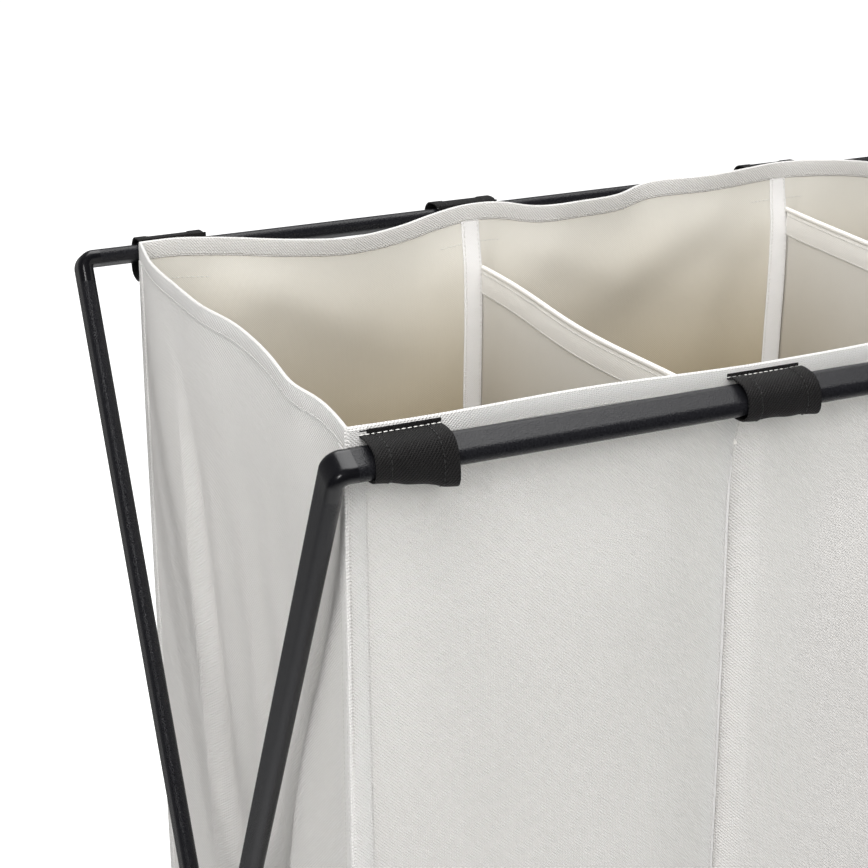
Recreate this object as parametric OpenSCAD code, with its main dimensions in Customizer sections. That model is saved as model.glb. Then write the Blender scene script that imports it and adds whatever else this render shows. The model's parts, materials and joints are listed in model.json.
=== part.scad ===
// Folding laundry sorter on casters: two crossed tube frames carry a three-compartment fabric bag.
// Millimetres. X runs along the rails, Y from front to rear, Z up from the floor.
// The origin is on the floor, under the middle of the frames.

/* [Frame] */
// Height of the top rails' axes above the floor
rail_z = 835; // [780:5:880]
// Distance between the two top rails' axes, front to rear
rail_span = 393; // [360:1:420]
// Height of the two crossing pivots above the floor
pivot_z = 429; // [400:1:450]
// Half the distance between the front frame's leg axes
front_frame_half = 372; // [365:1:400]
// Sideways gap between a front frame leg and the rear frame leg beside it
leg_gap = 10; // [6:1:14]

/* [Tube] */
// Long side of the flat-oval tube
tube_long = 20; // [18:1:24]
// Short side of the flat-oval tube
tube_short = 10; // [9:1:12]
// Wall of the tube
tube_wall = 1; // [0.8:0.1:1.5]

/* [Bag] */
// Outside width of the bag along the rails
bag_w = 720; // [690:2:720]
// Width of the middle compartment
middle_w = 248; // [220:2:270]
// Height of the bag from its floor to its top hem
bag_h = 610; // [500:5:640]
// Thickness of the fabric
cloth_t = 1.2; // [1:0.1:2]
// Height of the hem's top edge above the rail axes
hem_rise = 15; // [12:1:18]
// How far the dividers' top edges stay below the rail axes
divider_drop = 32; // [10:1:60]
// Width of one carrying loop along the rail
loop_w = 44; // [36:1:50]

/* [Casters] */
// Radius of a caster wheel
wheel_r = 20; // [18:1:22]
// Width of a caster wheel
wheel_w = 13; // [12:0.5:13]
// Distance from the swivel axis back to the wheel's axle
caster_trail = 13; // [10:1:15]

/* [Hidden] */
$fn = 48;
CASTERS = ["front_left", "front_right", "rear_left", "rear_right"];
LOOPS = ["far_left", "left", "right", "far_right"];

STEEL_BLACK = [0.06, 0.06, 0.07];
PLASTIC_BLACK = [0.04, 0.04, 0.045];
CLOTH_CREAM = [0.88, 0.86, 0.80];
WEBBING_BLACK = [0.05, 0.05, 0.05];
STEEL_BRIGHT = [0.70, 0.70, 0.72];

half_span = rail_span / 2;
lean = atan(half_span / (rail_z - pivot_z));
rear_frame_half = front_frame_half + tube_short + leg_gap;
leg_top = (rail_z - pivot_z) / cos(lean);

// Casters, from the floor up. Nothing on a caster is wider than its foot's boss, so that the
// two frames' casters pass beside each other when the sorter folds
caster_gap = 1;
crown_z = 2 * wheel_r + 2;
crown_t = 7;
foot_z = crown_z + crown_t + caster_gap;
boss_r = 9.5;
boss_h = 38;
stem_r = 4;
stem_fit = 0.06;
stem_h = 24;
stem_head_r = 6;
stem_head_h = 2;
stem_head_gap = 0.3;
axle_r = 2.5;
axle_fit = 0.06;
axle_head_r = 4;
axle_head_h = 0.8;
cheek_t = 2;
cheek_gap = 0.5;
cheek_r = 8;
foot_rail_z = foot_z + 24;
leg_bottom = (pivot_z - foot_rail_z) / cos(lean);
foot_y = leg_bottom * sin(lean);

// Plastic corner connectors
corner_r = 1;
elbow_rail_arm = 10;
elbow_leg_arm = 15;
foot_arm = 22;
spigot_l = 22;
spigot_play = 0.15;

// Crossing pivots
bolt_r = 3;
bolt_fit = 0.06;
spacer_r = 8;
head_r = 7;
head_h = 3;
nut_r = 6;
nut_h = 3.5;
thread_out = 1;

// Bag: the loops' tails lie on the panels' outer faces, just inside the rails
body_gap = 0.3;
loop_t = 1.2;
loop_r = tube_long / 2 + 0.6 + loop_t;
panel_y = half_span - loop_r;
end_x = (bag_w - cloth_t) / 2;
wall_front = -panel_y + cloth_t;
wall_rear = panel_y - cloth_t - body_gap;
bag_top_z = rail_z + hem_rise;
bag_floor_z = bag_top_z - bag_h;
divider_top_z = rail_z - divider_drop;
loop_tail = hem_rise + 14;
loop_inset = 4;
loop_xs = [
    -bag_w / 2 + loop_inset + loop_w / 2,
    -middle_w / 2,
    middle_w / 2,
    bag_w / 2 - loop_inset - loop_w / 2
];

// ---- shared shapes ----

// Flat-oval outline: long side along Y, short side along X
module oval(long, short) {
    straight = long - short;
    square([short, straight], center = true);
    for (side = [-1, 1])
        translate([0, side * straight / 2]) circle(d = short);
}

// Flat-oval tube along Z, from z0 to z1
module tube(z0, z1) {
    translate([0, 0, z0])
        difference() {
            linear_extrude(z1 - z0) oval(tube_long, tube_short);
            translate([0, 0, -1])
                linear_extrude(z1 - z0 + 2)
                    oval(tube_long - 2 * tube_wall, tube_short - 2 * tube_wall);
        }
}

// Solid flat-oval bar along Z, thinner than the tube's outside by play all round
module oval_bar(z0, z1, play = 0) {
    translate([0, 0, z0]) linear_extrude(z1 - z0) oval(tube_long - 2 * play, tube_short - 2 * play);
}

// The front frame leans forwards and the rear frame backwards about the pivots; inside, a frame is flat in XZ
module front_frame() {
    translate([0, 0, pivot_z]) rotate([lean, 0, 0]) children();
}

module rear_frame() {
    translate([0, 0, pivot_z]) rotate([-lean, 0, 0]) children();
}

// Turns a shape that runs along Z so that it runs along X
module along_x() {
    rotate([0, 90, 0]) children();
}

module leg(x) {
    color(STEEL_BLACK)
        translate([x, 0, 0])
            difference() {
                tube(-leg_bottom + foot_arm, leg_top - elbow_leg_arm);
                along_x() cylinder(r = bolt_r + bolt_fit, h = 2 * tube_short, center = true);
            }
}

module rail(half, z, arm) {
    color(STEEL_BLACK) translate([0, 0, z]) along_x() tube(-half + arm, half - arm);
}

// Corner connector with its corner at the origin and its arms along -X and -Z, plugged into both tubes
module corner_shape(rail_arm, leg_arm) {
    reach = tube_short / 2 + corner_r;
    plug = tube_wall + spigot_play;
    for (end = [[90, rail_arm], [0, leg_arm]])
        rotate([0, end[0], 0]) {
            oval_bar(-end[1], -reach);
            oval_bar(-end[1] - spigot_l, -end[1] + 1, plug);
        }
    translate([-reach, 0, -reach])
        rotate([90, 0, 0])
            rotate_extrude(angle = 90)
                translate([reach, 0]) oval(tube_long, tube_short);
}

module elbow(side, half) {
    color(PLASTIC_BLACK)
        translate([side * half, 0, leg_top])
            mirror([side < 0 ? 1 : 0, 0, 0]) corner_shape(elbow_rail_arm, elbow_leg_arm);
}

// Foot connector: a corner connector turned downwards, with an upright boss for the caster's stem
module foot_corner(side, half) {
    translate([side * half, 0, -leg_bottom])
        mirror([side < 0 ? 1 : 0, 0, 0])
            mirror([0, 0, 1]) corner_shape(foot_arm, foot_arm);
}

module foot_boss(x, y) {
    translate([x, y, foot_z]) cylinder(r = boss_r, h = boss_h);
}

module foot_socket(x, y) {
    translate([x, y, foot_z - 1]) cylinder(r = stem_r + stem_fit, h = stem_h + 2);
}

// ---- crossing pivots ----

// Bolt with a low domed head outside the rear frame's leg and its thread inside the front frame's leg
module pivot_bolt(side) {
    inner = front_frame_half - tube_short / 2 - nut_h - thread_out;
    outer = rear_frame_half + tube_short / 2 + body_gap;
    color(STEEL_BRIGHT)
        translate([0, 0, pivot_z])
            mirror([side < 0 ? 1 : 0, 0, 0])
                along_x() {
                    translate([0, 0, inner]) cylinder(r = bolt_r, h = outer - inner + 1);
                    translate([0, 0, outer]) cylinder(r1 = head_r, r2 = head_r - 2, h = head_h);
                }
}

// Plastic spacer between the two legs; it lies against the front frame's leg
module pivot_spacer(side) {
    color(PLASTIC_BLACK)
        translate([0, 0, pivot_z])
            mirror([side < 0 ? 1 : 0, 0, 0])
                along_x()
                    translate([0, 0, front_frame_half + tube_short / 2])
                        difference() {
                            cylinder(r = spacer_r, h = leg_gap - body_gap);
                            cylinder(r = bolt_r + bolt_fit, h = 3 * leg_gap, center = true);
                        }
}

module pivot_nut(side) {
    color(STEEL_BRIGHT)
        translate([side * (front_frame_half - tube_short / 2 - nut_h / 2), 0, pivot_z])
            along_x()
                difference() {
                    cylinder(r = nut_r, h = nut_h, center = true, $fn = 6);
                    cylinder(r = bolt_r, h = nut_h + 2, center = true);
                }
}

// ---- bag ----

module bag_panel(side) {
    color(CLOTH_CREAM)
        translate([-bag_w / 2, side > 0 ? panel_y - cloth_t : -panel_y, bag_floor_z])
            cube([bag_w, cloth_t, bag_h]);
}

// Cross wall from the front panel almost to the rear panel, centred on x, from the bottom up to top_z
module cross_wall(x, top_z) {
    color(CLOTH_CREAM)
        translate([x - cloth_t / 2, wall_front, bag_floor_z])
            cube([cloth_t, wall_rear - wall_front, top_z - bag_floor_z]);
}

// Floor of one compartment, between the cross walls whose middles are at x0 and x1
module compartment_floor(x0, x1) {
    color(CLOTH_CREAM)
        translate([x0 + cloth_t / 2, wall_front, bag_floor_z])
            cube([x1 - x0 - cloth_t, wall_rear - wall_front, cloth_t]);
}

// Webbing loop, loose enough for the flat-oval rail to turn in it, with a tail sewn to the bag's hem.
// side is -1 at the front and 1 at the rear
module loop(x, side) {
    color(WEBBING_BLACK)
        translate([x, side * half_span, 0])
            difference() {
                union() {
                    translate([0, 0, rail_z])
                        along_x() cylinder(r = loop_r, h = loop_w, center = true);
                    translate([-loop_w / 2, side > 0 ? -loop_r : loop_r - loop_t, bag_top_z - loop_tail])
                        cube([loop_w, loop_t, loop_tail]);
                }
                translate([0, 0, rail_z])
                    along_x() cylinder(r = loop_r - loop_t, h = 2 * loop_w, center = true);
            }
}

// ---- casters: each is drawn with its swivel axis on Z and its foot on the floor ----

function caster_x(i) = (i % 2 == 0 ? -1 : 1) * (i < 2 ? rear_frame_half : front_frame_half);
function caster_y(i) = (i < 2 ? -1 : 1) * foot_y;

module at_caster(i) {
    translate([caster_x(i), caster_y(i), 0]) children();
}

// Stem: a shank in the foot's socket, a collar under the foot, and a riveted head that carries the fork
module caster_stem() {
    neck_z = crown_z + stem_head_gap;
    color(STEEL_BRIGHT) {
        translate([0, 0, neck_z]) cylinder(r = stem_head_r, h = stem_head_h);
        translate([0, 0, neck_z]) cylinder(r = stem_r, h = foot_z + stem_h - neck_z);
        translate([0, 0, foot_z - caster_gap + body_gap]) cylinder(r = stem_head_r, h = caster_gap - body_gap);
    }
}

// Fork: a round crown that turns on the stem, over two cheeks that reach back to the axle
module caster_fork() {
    inside_w = wheel_w + 2 * cheek_gap;
    color(PLASTIC_BLACK)
        difference() {
            union() {
                translate([0, 0, crown_z]) cylinder(r = boss_r - 0.5, h = crown_t);
                translate([-inside_w / 2 - cheek_t, 0, crown_z])
                    cube([inside_w + 2 * cheek_t, caster_trail + cheek_r, crown_t]);
                for (side = [-1, 1])
                    translate([side > 0 ? inside_w / 2 : -inside_w / 2 - cheek_t, caster_trail, 0]) {
                        translate([0, 0, wheel_r]) along_x() cylinder(r = cheek_r, h = cheek_t);
                        translate([0, -cheek_r, wheel_r])
                            cube([cheek_t, 2 * cheek_r, crown_z + crown_t - wheel_r]);
                    }
            }
            translate([0, 0, crown_z - 1]) cylinder(r = stem_r + stem_fit, h = crown_t + 2);
            translate([0, 0, crown_z - 1])
                cylinder(r = stem_head_r + stem_fit, h = 1 + stem_head_h + 2 * stem_head_gap);
            translate([0, caster_trail, wheel_r])
                along_x() cylinder(r = axle_r, h = 4 * wheel_w, center = true);
        }
}

// Axle: a rivet through both cheeks with a low head on each side
module caster_axle() {
    cheeks_w = wheel_w + 2 * cheek_gap + 2 * cheek_t;
    color(STEEL_BRIGHT)
        translate([0, caster_trail, wheel_r])
            along_x() {
                cylinder(r = axle_r, h = cheeks_w, center = true);
                for (side = [-1, 1])
                    translate([0, 0, side * (cheeks_w + axle_head_h) / 2])
                        cylinder(r = axle_head_r, h = axle_head_h, center = true);
            }
}

// Wheel: a rounded tread, dished on both sides round a raised hub
module caster_wheel() {
    edge = 3;
    dish_r = wheel_r - 5;
    hub_r = 6;
    dish = 2.5;
    color(PLASTIC_BLACK)
        translate([0, caster_trail, wheel_r])
            along_x()
                difference() {
                    rotate_extrude($fn = 64) {
                        translate([0, -wheel_w / 2]) square([wheel_r - edge, wheel_w]);
                        translate([0, -wheel_w / 2 + edge]) square([wheel_r, wheel_w - 2 * edge]);
                        for (side = [-1, 1])
                            translate([wheel_r - edge, side * (wheel_w / 2 - edge)]) circle(r = edge);
                    }
                    for (side = [-1, 1])
                        translate([0, 0, side > 0 ? wheel_w / 2 - dish : -wheel_w / 2 - 1])
                            difference() {
                                cylinder(r = dish_r, h = dish + 1);
                                translate([0, 0, -1]) cylinder(r = hub_r, h = dish + 3);
                            }
                    cylinder(r = axle_r + axle_fit, h = 2 * wheel_w, center = true);
                }
}

// ---- nodes ----

front_frame() rail(front_frame_half, leg_top, elbow_rail_arm);  // front_top_rail
front_frame() leg(-front_frame_half);  // front_frame_left_leg
front_frame() leg(front_frame_half);  // front_frame_right_leg
front_frame() rail(front_frame_half, -leg_bottom, foot_arm);  // rear_foot_rail

rear_frame() rail(rear_frame_half, leg_top, elbow_rail_arm);  // rear_top_rail
rear_frame() leg(-rear_frame_half);  // rear_frame_left_leg
rear_frame() leg(rear_frame_half);  // rear_frame_right_leg
rear_frame() rail(rear_frame_half, -leg_bottom, foot_arm);  // front_foot_rail

front_frame() elbow(-1, front_frame_half);  // front_left_elbow
front_frame() elbow(1, front_frame_half);  // front_right_elbow
rear_frame() elbow(-1, rear_frame_half);  // rear_left_elbow
rear_frame() elbow(1, rear_frame_half);  // rear_right_elbow

for (i = [0:3]) {
    x = caster_x(i);
    y = caster_y(i);
    side = x < 0 ? -1 : 1;
    color(PLASTIC_BLACK)
            difference() {
                union() {
                    if (i < 2) rear_frame() foot_corner(side, rear_frame_half);
                    else front_frame() foot_corner(side, front_frame_half);
                    foot_boss(x, y);
                }
                foot_socket(x, y);
            }
    at_caster(i) caster_stem();
    at_caster(i) caster_fork();
    at_caster(i) caster_axle();
    at_caster(i) caster_wheel();
}

pivot_bolt(-1);  // left_pivot_bolt
pivot_bolt(1);  // right_pivot_bolt
pivot_spacer(-1);  // left_pivot_spacer
pivot_spacer(1);  // right_pivot_spacer
pivot_nut(-1);  // left_pivot_nut
pivot_nut(1);  // right_pivot_nut

bag_panel(-1);  // bag_front_panel
bag_panel(1);  // bag_rear_panel
cross_wall(-end_x, bag_top_z);  // bag_left_end
cross_wall(end_x, bag_top_z);  // bag_right_end
cross_wall(-middle_w / 2, divider_top_z);  // left_divider
cross_wall(middle_w / 2, divider_top_z);  // right_divider
compartment_floor(-end_x, -middle_w / 2);  // left_floor
compartment_floor(-middle_w / 2, middle_w / 2);  // middle_floor
compartment_floor(middle_w / 2, end_x);  // right_floor

for (i = [0:3]) {
    loop(loop_xs[i], -1);
    loop(loop_xs[i], 1);
}
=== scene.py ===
# %% [markdown]
# # A laundry sorter on casters
# Two crossed frames of black flat-oval tube carry an off-white cloth bag with two dividers inside.
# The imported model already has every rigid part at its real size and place, so this lesson leaves
# those where they are and gives them finishes. Its work is the cloth: panels, hems, tapes, carrying
# loops and the stitches that hold them together.

# %% Load the frame
import json
import math

import bpy
import numpy as np
from mathutils import Matrix, Vector


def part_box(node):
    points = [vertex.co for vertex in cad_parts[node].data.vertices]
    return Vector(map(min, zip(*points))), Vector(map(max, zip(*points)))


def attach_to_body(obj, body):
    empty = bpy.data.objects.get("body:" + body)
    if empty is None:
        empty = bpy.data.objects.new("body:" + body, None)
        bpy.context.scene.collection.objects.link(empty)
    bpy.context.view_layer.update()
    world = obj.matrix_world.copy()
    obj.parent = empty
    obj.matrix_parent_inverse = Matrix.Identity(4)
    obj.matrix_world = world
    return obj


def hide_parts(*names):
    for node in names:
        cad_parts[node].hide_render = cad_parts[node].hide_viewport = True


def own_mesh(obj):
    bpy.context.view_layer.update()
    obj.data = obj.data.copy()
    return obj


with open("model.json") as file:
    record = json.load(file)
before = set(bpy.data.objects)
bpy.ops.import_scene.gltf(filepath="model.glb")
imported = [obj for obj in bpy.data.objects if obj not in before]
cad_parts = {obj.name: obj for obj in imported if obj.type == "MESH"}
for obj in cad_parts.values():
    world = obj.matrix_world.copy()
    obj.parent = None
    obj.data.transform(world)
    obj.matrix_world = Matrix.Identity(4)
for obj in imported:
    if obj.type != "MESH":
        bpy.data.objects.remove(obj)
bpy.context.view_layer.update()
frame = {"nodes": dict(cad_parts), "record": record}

# %% [markdown]
# ## Camera
# The sorter is looked at from its left front corner, a little from above, through a long lens. The
# camera's place is given from the corner of the front frame, where the top rail meets the left leg.


# %% Measures taken from the frame
def middle(node):
    """Middle of a CAD node's box."""
    low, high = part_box(node)
    return (low + high) / 2


FRONT_RAIL = middle("front_top_rail")
REAR_RAIL = middle("rear_top_rail")
LEFT_LEG_X = middle("front_frame_left_leg").x
print("rails are", round((REAR_RAIL.y - FRONT_RAIL.y) * 1000, 1), "mm apart")

# %% Camera
EYE_FROM_CORNER = Vector((-0.3258, -0.8573, 0.3804))
YAW = math.radians(23.86)
PITCH = math.radians(21.59)
ROLL = math.radians(-0.16)
SENSOR_MM = 36
LENS_MM = 84.93

camera_data = bpy.data.cameras.new("camera")
camera_data.sensor_width = SENSOR_MM
camera_data.lens = LENS_MM
camera = bpy.data.objects.new("camera", camera_data)
bpy.context.scene.collection.objects.link(camera)
eye = Vector((LEFT_LEG_X, FRONT_RAIL.y, FRONT_RAIL.z)) + EYE_FROM_CORNER
turn = Matrix.Rotation(-YAW, 4, "Z")
tip = Matrix.Rotation(math.pi / 2 - PITCH, 4, "X")
roll = Matrix.Rotation(ROLL, 4, "Z")
camera.matrix_world = Matrix.Translation(eye) @ (turn @ tip @ roll)
bpy.context.scene.camera = camera
print("camera at", [round(v, 3) for v in eye])

# %% [markdown]
# ## Light
# A white sweep, one wide soft box overhead and big ones around it are what a product studio uses. The
# cloth then has soft shade only. Black tube shows what it mirrors, so that is steered apart. The soft
# boxes overhead and around it aren't mirrored. A box high up behind draws the bright top of the rails,
# and a narrow strip at the left the bright line along the legs. Mirrored rays meet a dim studio over a
# pale floor.

# %% Light values
# A lamp's aim is the height above the origin that it points at; sizes are in metres
STUDIO_LIGHTS = {
    "overhead": {"place": (-1.1, -0.7, 2.8), "aim": 0.8, "size": (1.9, 1.9), "watts": 47, "mirrored": False},
    "behind": {"place": (0.3, 0.7, 3.0), "aim": 0.8, "size": (2.0, 2.0), "watts": 46, "mirrored": True},
    "front": {"place": (-0.5, -3.0, 2.6), "aim": 0.6, "size": (2.2, 2.2), "watts": 80, "mirrored": False},
    "strip": {"place": (-2.6, -2.3, 2.4), "aim": 0.6, "size": (0.35, 1.0), "watts": 24, "mirrored": True},
    "left": {"place": (-3.0, 0.2, 1.5), "aim": 0.6, "size": (1.8, 1.8), "watts": 19, "mirrored": False},
    "right": {"place": (2.6, -1.2, 2.2), "aim": 0.7, "size": (1.8, 1.8), "watts": 12, "mirrored": False},
}
AIR_LIGHT = 0.37
AIR_SEEN = 1.0
AIR_MIRRORED = {"front": 0.02, "back": 0.28}
FLOOR_MIRRORED = 1.15
# Parts of a ray's direction between which the mirrored air turns into that of the back, and the floor
BACK_FROM, BACK_TO = 0.2, 0.7
FLOOR_FROM, FLOOR_TO = -0.42, -0.88


# %% Node helpers
def feed(tree, socket, value):
    """Gives a socket a value, or a link from another node's socket."""
    if isinstance(value, bpy.types.NodeSocket):
        tree.links.new(value, socket)
    else:
        socket.default_value = value


def add_node(tree, kind, settings=None, **inputs):
    """Node in a tree. settings are its properties; each input is a value or another node's socket."""
    node = tree.nodes.new(kind)
    for key, value in (settings or {}).items():
        setattr(node, key, value)
    for key, value in inputs.items():
        feed(tree, node.inputs[key.replace("_", " ")], value)
    return node


def combine(tree, operation, first, second, kind="ShaderNodeMath"):
    """Output of a maths node that works on two values or sockets."""
    node = add_node(tree, kind, {"operation": operation})
    feed(tree, node.inputs[0], first)
    feed(tree, node.inputs[1], second)
    return node.outputs[0]


# %% Lights
bpy.context.scene.view_settings.view_transform = "Standard"
for name, row in STUDIO_LIGHTS.items():
    data = bpy.data.lights.new(name, "AREA")
    data.shape = "RECTANGLE"
    data.size, data.size_y = row["size"]
    data.energy = row["watts"]
    lamp = bpy.data.objects.new(name, data)
    bpy.context.scene.collection.objects.link(lamp)
    lamp.location = row["place"]
    lamp.visible_glossy = row["mirrored"]
    gaze = Vector((0, 0, row["aim"])) - Vector(row["place"])
    lamp.rotation_euler = gaze.to_track_quat("-Z", "Y").to_euler()
print("lights:", ", ".join(STUDIO_LIGHTS))

# %% Air around the studio
world = bpy.data.worlds.new("studio")
bpy.context.scene.world = world
world.use_nodes = True
air = world.node_tree
for node in list(air.nodes):
    air.nodes.remove(node)
rays = add_node(air, "ShaderNodeLightPath").outputs
way = add_node(air, "ShaderNodeTexCoord").outputs["Generated"]
heading = add_node(air, "ShaderNodeSeparateXYZ", Vector=way).outputs
back = add_node(air, "ShaderNodeMapRange", Value=heading["Y"], From_Min=BACK_FROM, From_Max=BACK_TO)
back.inputs["To Min"].default_value = AIR_MIRRORED["front"]
back.inputs["To Max"].default_value = AIR_MIRRORED["back"]
floor = add_node(air, "ShaderNodeMapRange", Value=heading["Z"], From_Min=FLOOR_FROM, From_Max=FLOOR_TO)
floor.inputs["To Max"].default_value = FLOOR_MIRRORED
mirrored = combine(air, "MAXIMUM", back.outputs["Result"], floor.outputs["Result"])
lit = add_node(air, "ShaderNodeMix", Factor=rays["Is Glossy Ray"], A=AIR_LIGHT, B=mirrored)
shown = add_node(air, "ShaderNodeMix", Factor=rays["Is Camera Ray"], A=lit.outputs["Result"], B=AIR_SEEN)
glow = add_node(air, "ShaderNodeBackground", Strength=shown.outputs["Result"])
add_node(air, "ShaderNodeOutputWorld", Surface=glow.outputs[0])
print("air strength", AIR_LIGHT)

# %% [markdown]
# ## Finishes
# Every finish starts from a Principled BSDF with procedural detail. Hard parts and thread read object
# coordinates, which are metres here. Cloth reads its own UV map, which is also laid out in metres of
# flat cloth, so that the weave keeps its scale and direction however a panel hangs. The bag's cloth
# also lets some light through.


# %% Material helpers
def new_material(name, color, roughness, **inputs):
    """Principled material; inputs are other sockets of the shader by name."""
    material = bpy.data.materials.new(name)
    material.use_nodes = True
    shader = material.node_tree.nodes["Principled BSDF"]
    shader.inputs["Base Color"].default_value = (*color, 1)
    shader.inputs["Roughness"].default_value = roughness
    for key, value in inputs.items():
        shader.inputs[key.replace("_", " ")].default_value = value
    return material


def bump(material, height, distance, strength=1.0):
    """Bump from a height on the material's shader."""
    tree = material.node_tree
    node = add_node(tree, "ShaderNodeBump", Height=height, Distance=distance, Strength=strength)
    tree.links.new(node.outputs["Normal"], tree.nodes["Principled BSDF"].inputs["Normal"])


def two_colors(material, mask, dark, light):
    """Base colour that goes from dark to light as the mask goes from 0 to 1."""
    tree = material.node_tree
    mix = add_node(tree, "ShaderNodeMix", {"data_type": "RGBA"}, Factor=mask)
    feed(tree, mix.inputs["A"], (*dark, 1))
    feed(tree, mix.inputs["B"], (*light, 1))
    tree.links.new(mix.outputs["Result"], tree.nodes["Principled BSDF"].inputs["Base Color"])


def mix_in(material, share, other):
    """Mixes a share of another shader into the material's own."""
    tree = material.node_tree
    mix = tree.nodes.new("ShaderNodeMixShader")
    feed(tree, mix.inputs[0], share)
    tree.links.new(tree.nodes["Principled BSDF"].outputs[0], mix.inputs[1])
    tree.links.new(other, mix.inputs[2])
    tree.links.new(mix.outputs[0], tree.nodes["Material Output"].inputs["Surface"])


# %% [markdown]
# ### Powder coat, plastic and zinc
# Baked powder dries into tiny pebbles, so a lamp's mirror image in the tube breaks into sparkles. A
# noise a little finer than a millimetre makes the bump, and also thins the black where it is high.
# Moulded plastic is smoother and only has a faint orange peel. Zinc is clouded metal.


# %% Hard finishes
def powder_coat():
    """Satin black powder coat with the fine pebbled texture of baked powder."""
    material = new_material("powder_coat", (0.012, 0.012, 0.013), 0.23, Specular_IOR_Level=0.30)
    tree = material.node_tree
    place = add_node(tree, "ShaderNodeTexCoord").outputs["Object"]
    pebbles = add_node(tree, "ShaderNodeTexNoise", Vector=place, Scale=1100.0, Detail=2.5, Roughness=0.65)
    bump(material, pebbles.outputs["Fac"], 0.0004, 0.75)
    two_colors(material, pebbles.outputs["Fac"], (0.001, 0.001, 0.002), (0.016, 0.016, 0.018))
    return material


def moulded_plastic(name, roughness, color):
    """Moulded black plastic with a faint orange peel."""
    material = new_material(name, color, roughness)
    tree = material.node_tree
    place = add_node(tree, "ShaderNodeTexCoord").outputs["Object"]
    peel = add_node(tree, "ShaderNodeTexNoise", Vector=place, Scale=420.0, Detail=1.5)
    bump(material, peel.outputs["Fac"], 0.0002, 0.3)
    return material


def zinc_plate():
    """Zinc-plated steel, clouded as plated parts are."""
    material = new_material("zinc_plate", (0.60, 0.60, 0.62), 0.34, Metallic=1.0)
    tree = material.node_tree
    place = add_node(tree, "ShaderNodeTexCoord").outputs["Object"]
    clouds = add_node(tree, "ShaderNodeTexNoise", Vector=place, Scale=260.0, Detail=3.0)
    two_colors(material, clouds.outputs["Fac"], (0.46, 0.46, 0.48), (0.72, 0.72, 0.74))
    bump(material, clouds.outputs["Fac"], 0.0001, 0.3)
    return material


HARD_FINISH = {
    "painted_tube": powder_coat(),
    "black_plastic": moulded_plastic("glossy_plastic", 0.24, (0.004, 0.004, 0.005)),
    "wheel_plastic": moulded_plastic("wheel_plastic", 0.48, (0.016, 0.016, 0.017)),
    "zinc_steel": zinc_plate(),
}
hard_nodes = 0
for row in frame["record"]["subparts"]:
    if row["material_slot"] in HARD_FINISH:
        mesh = frame["nodes"][row["node"]].data
        mesh.materials.clear()
        mesh.materials.append(HARD_FINISH[row["material_slot"]])
        hard_nodes += 1
print("hard finishes on", hard_nodes, "nodes")

# %% [markdown]
# ### Cloth
# The bag is a twill: the weft steps over the warp one thread further on each row, which shows as
# fine diagonal ridges. One wave texture along the diagonal makes the ridges, and two along the threads
# break the ridges into beads. A slow noise varies the tone a little. The bag's inside is coated, so
# it is smoother and beige. Its colour is also painted darker as shade of the bag's inside, and from
# below the top it darkens and warms further, a painted shade of the deep bag.


# %% Weave
def weave(material, ridge, depth, strength):
    """Twill height on the UV map in metres; ridge is the distance from one diagonal ridge to the next."""
    tree = material.node_tree
    place = add_node(tree, "ShaderNodeUVMap", {"uv_map": "cloth"}).outputs["UV"]
    thread = ridge * math.sqrt(2) / 2
    heights = []
    # At scale 1 a wave texture has a band every tau / 20 of x or y, and every tau / 10 of x + y
    for direction, spacing in (("DIAGONAL", thread), ("X", thread), ("Y", thread)):
        wave = add_node(tree, "ShaderNodeTexWave", {"bands_direction": direction}, Vector=place)
        wave.inputs["Scale"].default_value = math.tau / 20 / spacing
        wave.inputs["Distortion"].default_value = 0.5
        wave.inputs["Detail"].default_value = 1.0
        heights.append(wave.outputs["Fac"])
    beads = combine(tree, "MULTIPLY", heights[1], heights[2])
    total = combine(tree, "ADD", heights[0], beads)
    bump(material, total, depth, strength)
    return place, total


def let_light_through(material, share):
    """Lets a share of the light through the cloth, spread in all directions."""
    tree = material.node_tree
    color = tree.nodes["Principled BSDF"].inputs["Base Color"].links[0].from_socket
    spread = add_node(tree, "ShaderNodeBsdfTranslucent", Color=color)
    mix_in(material, share, spread.outputs[0])


def woven(name, shade, color, ridge, depth, roughness, mottle=0.5, strength=0.8, sheen=0.05):
    """Twill cloth whose colour varies with the weave and, by the share mottle, with slow noise."""
    sheens = {"Sheen_Weight": sheen, "Sheen_Roughness": 0.45}
    material = new_material(name, color, roughness, Specular_IOR_Level=0.25, **sheens)
    tree = material.node_tree
    place, height = weave(material, ridge, depth, strength)
    slow = add_node(tree, "ShaderNodeTexNoise", Vector=place, Scale=34.0, Detail=5.0, Roughness=0.6)
    mask = add_node(tree, "ShaderNodeMix", {"data_type": "FLOAT"}, Factor=mottle)
    tree.links.new(height, mask.inputs[2])
    tree.links.new(slow.outputs["Fac"], mask.inputs[3])
    two_colors(material, mask.outputs[0], shade, color)
    return material


def paint_depth_shade(material, top, bottom, deep_shade):
    """Painted shade of the deep bag: darkens a cloth's colour from the height top down to bottom, which its
    UV map gives.
    """
    tree = material.node_tree
    shader = tree.nodes["Principled BSDF"]
    plain = shader.inputs["Base Color"].links[0].from_socket
    place = add_node(tree, "ShaderNodeUVMap", {"uv_map": "cloth"}).outputs["UV"]
    height = add_node(tree, "ShaderNodeSeparateXYZ", Vector=place).outputs["Y"]
    share = add_node(tree, "ShaderNodeMapRange", Value=height, From_Min=top, From_Max=bottom)
    mix = add_node(tree, "ShaderNodeMix", {"data_type": "RGBA"}, Factor=share.outputs["Result"])
    feed(tree, mix.inputs["A"], plain)
    feed(tree, mix.inputs["B"], (*deep_shade, 1))
    tree.links.new(mix.outputs["Result"], shader.inputs["Base Color"])


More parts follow.
